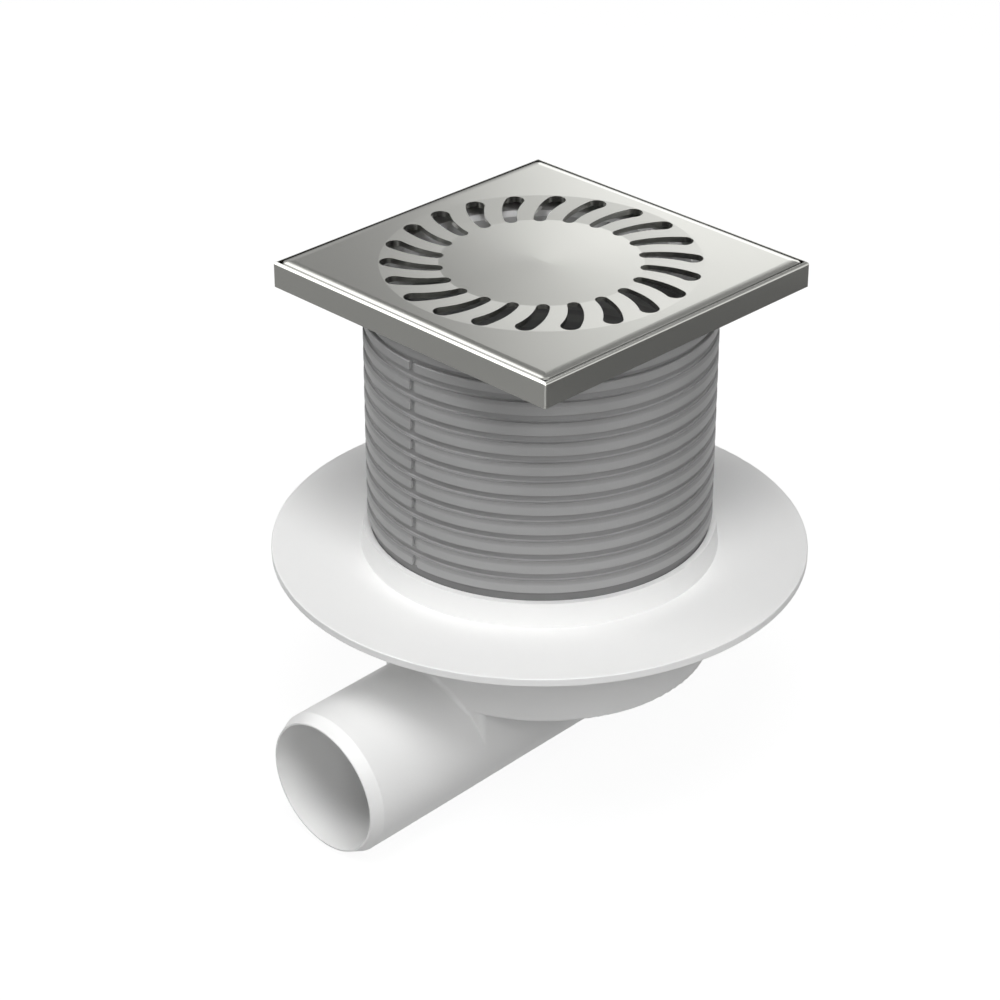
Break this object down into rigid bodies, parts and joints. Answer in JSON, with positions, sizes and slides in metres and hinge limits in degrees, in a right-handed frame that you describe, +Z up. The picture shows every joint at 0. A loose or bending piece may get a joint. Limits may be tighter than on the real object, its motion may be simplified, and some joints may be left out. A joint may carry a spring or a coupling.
{
  "type": "gully trap",
  "caption": "Floor gully trap: square slotted grid in a steel frame on a ribbed height-adjustable riser, sealing flange, round pot with removable water trap and a low side outlet spigot.",
  "frame": {"origin": "centre of the flange's top face, on the vertical drain axis", "axes": "+Z up along the drain axis towards the grid; -Y is the side that the outlet leaves by; +X to the right seen from the outlet side"},
  "size_m": [0.181, 0.192, 0.1814],
  "materials": {
    "white_plastic": "satin white moulding",
    "grey_plastic": "satin mid-grey moulding",
    "carrier_plastic": "satin grey moulding",
    "trap_plastic": "satin light grey moulding",
    "seal_rubber": "black rubber",
    "steel": "satin stainless steel"
  },
  "bodies": {
    "body": {"body": "white_plastic", "riser_seal": "seal_rubber"},
    "riser": {"riser": "grey_plastic", "trap_insert": "trap_plastic", "insert_ring": "seal_rubber", "trap_cup": "trap_plastic"},
    "frame": {"frame_carrier": "carrier_plastic", "frame": "steel", "grid": "steel"}
  },
  "joints": [
    {"name": "riser_height", "type": "slide", "parent": "body", "child": "riser", "axis": [0, 0, 1], "range_m": [0, 0.02]},
    {"name": "frame_swivel", "type": "hinge", "parent": "riser", "child": "frame", "pos_m": [0, 0, 0.0936], "axis": [0, 0, 1], "continuous": true}
  ]
}
